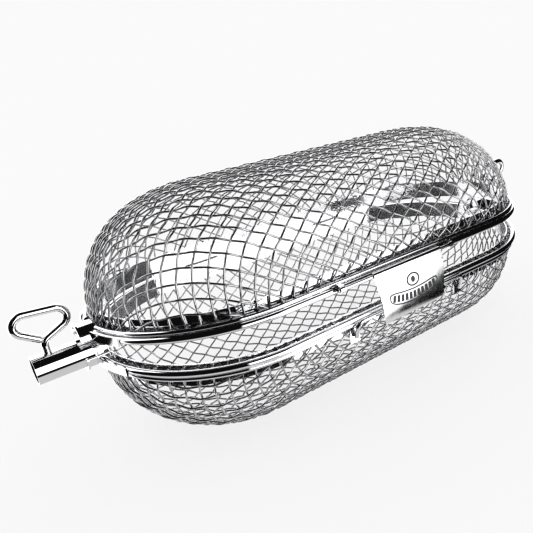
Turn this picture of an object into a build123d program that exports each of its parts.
from build123d import *
import os
from math import asin, cos, degrees, radians, sin

# Rotisserie grill basket: two woven-wire bowls, hinged along the far side (+Y), latched on the
# near side (-Y), carried on a spit tube at each end.
# Frame in millimetres: origin on the spit axis at mid length, +X along the spit, +Z up.

# Plan of each rim: a slot with round ends. Radii are measured from the slot's centre line.
end_centre = 98.0
band_outer = 88.8
band_thick = 1.0
band_low = 0.5
band_high = 16.0
mesh_outer = 91.0
mesh_wall = 1.4
mesh_low = 1.0
dome_start = 4.5
dome_depth = 80.0
dome_squareness = 2.25
dome_points = 6

# Round rods welded outside the mesh edge
rim_rod_r = 2.4
rim_rod_ring = 93.6
rim_rod_z = 4.0
trim_rod_r = 1.6
trim_rod_ring = 92.8
trim_rod_z = 8.2
rod_gap_y = 11.6

# Spit tubes and the collars round them
tube_r = 9.5
bore_r = 8.0
tube_start = 186.0
tube_end = 230.0
collar_start = 186.5
collar_end = 201.0
collar_thick = 1.0
collar_edge = 1.5
collar_lip_r = 12.0
collar_lip_thick = 1.2
saddle_bore = 9.8
cradle_bore = 9.6
notch_r = 10.9
mesh_notch_r = 11.1
wing_inner = 96.1
wing_thick = 1.0
wing_low = 1.2
wing_high = 6.8
wing_reach_y = 40.0

# Main hinge, on the far side
hinge_y = 96.5
lid_rest = 5.5
hinge_x = 70.0
leaf_width = 30.0
leaf_inner_y = 96.1
leaf_thick = 1.0
leaf_clear = 2.6
leaf_high = 12.0
knuckle_r = 2.2
knuckle_len = 8.0
pin_r = 1.2
pin_clear = 0.05
pin_head_r = 1.9
pin_head = 0.8
side_play = 0.3

# Latch plate on its wire, on the near side of the lid
wire_r = 1.5
wire_y = -98.9
wire_z = 5.0
wire_left = -60.0
wire_right = 49.0
clip_x = (-57.0, 46.5)
clip_width = 4.0
clip_r = 2.6
clip_bore = 1.6
clip_tab_y = -94.5
clip_tab_z = (6.6, 8.6)
sleeve_bore = 1.56
sheet = 1.0
plate_x = 2.0
plate_top_half = 32.5
plate_bottom_half = 28.5
plate_bulge = (-103.2, -13.0)
plate_foot = (-101.6, -29.5)
plate_lip = (-97.8, -33.0)
plate_corner = 7.0

# Keeper wire on the lower bowl
keeper_x = 7.0
keeper_half = 53.0
keeper_y = -97.6
keeper_z = -5.5
keeper_foot_y = -94.2
keeper_foot_z = -18.0
keeper_bend = 5.0
pad_size = (8.0, 1.2, 11.0)
pad_y = -92.0
pad_z = -17.0

# Thumbscrews
screw_x = 219.5
shank_r = 2.5
shank_clear = 0.05
shank_tip = 8.3
shank_top = 14.4
loop_r = 2.5
loop_start = 14.5
loop_route = ((0.0, 17.4), (33.3, 34.1), (-31.8, 40.6), (-1.4, 18.95))
loop_bends = (4.6, 6.6, 6.7)

angle = radians(lid_rest)
LOWER = Plane(origin=(0, 0, 0), x_dir=(-1, 0, 0), z_dir=(0, 0, -1))
UPPER = Plane(
    origin=(0, hinge_y * (1 - cos(angle)), hinge_y * sin(angle)),
    x_dir=(1, 0, 0),
    z_dir=(0, sin(angle), cos(angle)),
)
HALVES = (("lower", LOWER), ("upper", UPPER))
SIDES = (("left", -1), ("right", 1))
RIM_SIDES = (("near", -1), ("far", 1))

os.makedirs("parts", exist_ok=True)


def save(builder, label):
    """Label the finished piece and write its STEP file."""
    builder.part.label = label
    export_step(builder.part, f"parts/{label}.step")


def section_plane(half, x):
    """Plane across the basket at local x: its own axes are the half's Y and Z."""
    return Plane(origin=half.from_local_coords((x, 0, 0)), x_dir=half.y_dir, z_dir=half.x_dir)


def dome(inset):
    """Points of the bowl's quarter section, from the vertical wall to the bottom."""
    points = []
    for step in range(dome_points + 1):
        turn = radians(90 * step / dome_points)
        across = (mesh_outer - inset) * cos(turn) ** (2 / dome_squareness) if step < dome_points else 0
        points.append((across, dome_start + (dome_depth - inset) * sin(turn) ** (2 / dome_squareness)))
    return points


def quarter_wall():
    """Closed quarter section of the bowl's wall, as a sketch to be placed by its plane."""
    outer = dome(0)
    inner = dome(mesh_wall)
    with BuildSketch() as wall:
        with BuildLine():
            Line((outer[0][0], mesh_low), outer[0])
            Spline(*outer, tangents=((0, 1), (-1, 0)))
            Line(outer[-1], inner[-1])
            Spline(*reversed(inner), tangents=((1, 0), (0, -1)))
            Line(inner[0], (inner[0][0], mesh_low))
            Line((inner[0][0], mesh_low), (outer[0][0], mesh_low))
        make_face()
    return wall.sketch


def mesh_bowl(half):
    """Bowl of woven wire, as a plain wall of the true outer shape with an open mouth."""
    wall = quarter_wall()
    with BuildPart() as bowl:
        with BuildSketch(section_plane(half, 0)):
            add(wall)
            mirror(about=Plane.YZ)
        extrude(amount=end_centre, both=True)
        for end in (1, -1):
            with BuildSketch(section_plane(half, end * end_centre)):
                add(wall)
            axis = Axis(half.from_local_coords((end * end_centre, 0, 0)), half.z_dir)
            revolve(axis=axis, revolution_arc=-180 * end)
        with BuildSketch(section_plane(half, 0)):
            Circle(mesh_notch_r)
        extrude(amount=tube_end, both=True, mode=Mode.SUBTRACT)
    return bowl


def rim_band(half):
    """Sheet band inside the mesh edge, with a half-round notch for the tube at each end."""
    with BuildPart() as band:
        with BuildSketch(half.offset(band_low)):
            SlotCenterToCenter(2 * end_centre, 2 * band_outer)
            SlotCenterToCenter(2 * end_centre, 2 * (band_outer - band_thick), mode=Mode.SUBTRACT)
        extrude(amount=band_high - band_low)
        with BuildSketch(section_plane(half, 0)):
            Circle(notch_r)
        extrude(amount=tube_end, both=True, mode=Mode.SUBTRACT)
    return band


def rod(half, near_far, ring, height, radius):
    """One U-shaped half of a rim rod, from tube to tube along one side."""
    gap = degrees(asin(rod_gap_y / ring))
    with BuildPart() as bar:
        with BuildLine(half.offset(height)) as route:
            CenterArc((end_centre, 0), ring, near_far * gap, near_far * (90 - gap))
            Line((end_centre, near_far * ring), (-end_centre, near_far * ring))
            CenterArc((-end_centre, 0), ring, near_far * 90, near_far * (90 - gap))
        with BuildSketch(Plane(origin=route.line @ 0, z_dir=route.line % 0)):
            Circle(radius)
        sweep()
    return bar


def collar(half, side, bore):
    """Half collar over a tube: a half pipe with a lip, and a wing along the rim on each side."""
    outer = bore + collar_thick
    lip_start = collar_end - collar_lip_thick
    with BuildPart() as piece:
        for start, end, radius in ((collar_start, collar_end, outer), (lip_start, collar_end, collar_lip_r)):
            with BuildSketch(section_plane(half, side * start)):
                Circle(radius)
                with Locations((0, collar_edge + radius)):
                    Rectangle(3 * radius, 2 * radius, mode=Mode.INTERSECT)
            extrude(amount=side * (end - start))
        with BuildSketch(half.offset(wing_low)):
            with Locations((side * end_centre, 0)):
                Circle(wing_inner + wing_thick)
                Circle(wing_inner, mode=Mode.SUBTRACT)
            with Locations((side * (end_centre + wing_inner), 0)):
                Rectangle(wing_reach_y, 2 * wing_reach_y, mode=Mode.INTERSECT)
        extrude(amount=wing_high - wing_low)
        with BuildSketch(section_plane(half, 0)):
            Circle(bore)
        extrude(amount=side * tube_end, mode=Mode.SUBTRACT)
    return piece


def hinge_leaf(half, x, knuckles):
    """Leaf outside the rim rod, with a rolled knuckle over each (centre, length) in knuckles."""
    flip = half.x_dir.X
    leaf_y = leaf_inner_y + leaf_thick / 2
    with BuildPart() as leaf:
        with BuildSketch(section_plane(half, flip * (x - leaf_width / 2))):
            with Locations((leaf_y, (leaf_clear + leaf_high) / 2)):
                Rectangle(leaf_thick, leaf_high - leaf_clear)
        extrude(amount=flip * leaf_width)
        for centre, length in knuckles:
            with BuildSketch(section_plane(half, flip * (x + centre - length / 2))):
                with Locations((leaf_y, leaf_clear / 2)):
                    Rectangle(leaf_thick, leaf_clear)
                with Locations((hinge_y, 0)):
                    Circle(knuckle_r)
                    Circle(pin_r + pin_clear, mode=Mode.SUBTRACT)
            extrude(amount=flip * length)
    return leaf


for half_name, half in HALVES:
    save(mesh_bowl(half), f"{half_name}_mesh")
    save(rim_band(half), f"{half_name}_band")
    for rim_side, near_far in RIM_SIDES:
        save(rod(half, near_far, rim_rod_ring, rim_rod_z, rim_rod_r), f"{half_name}_rim_rod_{rim_side}")
        save(rod(half, near_far, trim_rod_ring, trim_rod_z, trim_rod_r), f"{half_name}_trim_rod_{rim_side}")

for side_name, side in SIDES:
    save(collar(LOWER, -side, cradle_bore), f"{side_name}_cradle")
    save(collar(UPPER, side, saddle_bore), f"{side_name}_saddle")

    with BuildPart() as tube:
        with BuildSketch(Plane.YZ.offset(side * tube_start)):
            Circle(tube_r)
            Circle(bore_r, mode=Mode.SUBTRACT)
        extrude(amount=side * (tube_end - tube_start))
        with BuildSketch(Plane.XY):
            with Locations((side * screw_x, 0)):
                Circle(shank_r + shank_clear)
        extrude(amount=2 * tube_r, mode=Mode.SUBTRACT)
    save(tube, f"{side_name}_spit_tube")

    with BuildPart() as shank:
        with BuildSketch(Plane.XY.offset(shank_tip)):
            with Locations((side * screw_x, 0)):
                Circle(shank_r)
        extrude(amount=shank_top - shank_tip)
        chamfer(shank.edges().group_by(Axis.Z)[0], 0.4)
    save(shank, f"{side_name}_screw_shank")

    with BuildPart() as loop:
        with BuildLine(Plane((side * screw_x, 0, 0), x_dir=(-side, 0, 0), z_dir=(0, side, 0))) as bent_wire:
            FilletPolyline((0, loop_start), *loop_route, radius=loop_bends)
        with BuildSketch(Plane(origin=bent_wire.line @ 0, z_dir=bent_wire.line % 0)):
            Circle(loop_r)
        sweep()
    save(loop, f"{side_name}_screw_loop")

outer_knuckle = (leaf_width - knuckle_len) / 2
middle_knuckle = leaf_width - 2 * knuckle_len - 2 * side_play
for side_name, side in SIDES:
    lower_knuckles = ((-outer_knuckle, knuckle_len), (outer_knuckle, knuckle_len))
    save(hinge_leaf(LOWER, side * hinge_x, lower_knuckles), f"{side_name}_lower_hinge_leaf")
    save(hinge_leaf(UPPER, side * hinge_x, ((0, middle_knuckle),)), f"{side_name}_upper_hinge_leaf")

    with BuildPart() as pin:
        with BuildSketch(Plane.YZ.offset(side * hinge_x)):
            with Locations((hinge_y, 0)):
                Circle(pin_r)
        extrude(amount=leaf_width / 2 + side_play + pin_head, both=True)
        for end in (-1, 1):
            with BuildSketch(Plane.YZ.offset(side * hinge_x + end * (leaf_width / 2 + side_play))):
                with Locations((hinge_y, 0)):
                    Circle(pin_head_r)
            extrude(amount=end * pin_head)
    save(pin, f"{side_name}_hinge_pin")

with BuildPart() as latch_wire:
    with BuildSketch(section_plane(UPPER, wire_left)):
        with Locations((wire_y, wire_z)):
            Circle(wire_r)
    extrude(amount=wire_right - wire_left)
save(latch_wire, "latch_wire")

with BuildPart() as clips:
    for x in clip_x:
        with BuildSketch(section_plane(UPPER, x - clip_width / 2)):
            with Locations((wire_y, wire_z)):
                Circle(clip_r)
            with Locations(((wire_y + clip_tab_y) / 2, sum(clip_tab_z) / 2)):
                Rectangle(clip_tab_y - wire_y, clip_tab_z[1] - clip_tab_z[0])
            with Locations((wire_y, wire_z)):
                Circle(clip_bore, mode=Mode.SUBTRACT)
        extrude(amount=clip_width)
save(clips, "latch_wire_clips")

with BuildPart() as plate:
    with BuildSketch(section_plane(UPPER, plate_x - plate_top_half)):
        with BuildLine():
            ThreePointArc((wire_y - sleeve_bore - sheet / 2, wire_z), plate_bulge, plate_foot)
            Line(plate_foot, plate_lip)
        trace(line_width=sheet)
        with Locations((wire_y, wire_z)):
            Circle(sleeve_bore + sheet)
            Circle(sleeve_bore, mode=Mode.SUBTRACT)
    extrude(amount=2 * plate_top_half)
    front = Plane(origin=UPPER.origin, x_dir=UPPER.x_dir, z_dir=-UPPER.y_dir).offset(-wire_y)
    with BuildSketch(front):
        with BuildLine():
            Polyline(
                (plate_x - plate_top_half, 2 * wire_z),
                (plate_x + plate_top_half, 2 * wire_z),
                (plate_x + plate_top_half, 0),
                (plate_x + plate_bottom_half, plate_lip[1] - sheet),
                (plate_x - plate_bottom_half, plate_lip[1] - sheet),
                (plate_x - plate_top_half, 0),
                close=True,
            )
        make_face()
        fillet(vertices().group_by(Axis.Y)[0], plate_corner)
    extrude(amount=10, both=True, mode=Mode.INTERSECT)
save(plate, "latch_plate")

with BuildPart() as keeper:
    left = keeper_x - keeper_half
    right = keeper_x + keeper_half
    with BuildLine() as keeper_route:
        FilletPolyline(
            (left, keeper_foot_y, keeper_foot_z),
            (left, keeper_y, keeper_z),
            (right, keeper_y, keeper_z),
            (right, keeper_foot_y, keeper_foot_z),
            radius=keeper_bend,
        )
    with BuildSketch(Plane(origin=keeper_route.line @ 0, z_dir=keeper_route.line % 0)):
        Circle(wire_r)
    sweep()
save(keeper, "latch_keeper")

with BuildPart() as pads:
    with Locations(*[(keeper_x + end * keeper_half, pad_y, pad_z) for end in (-1, 1)]):
        Box(*pad_size)
save(pads, "keeper_pads")
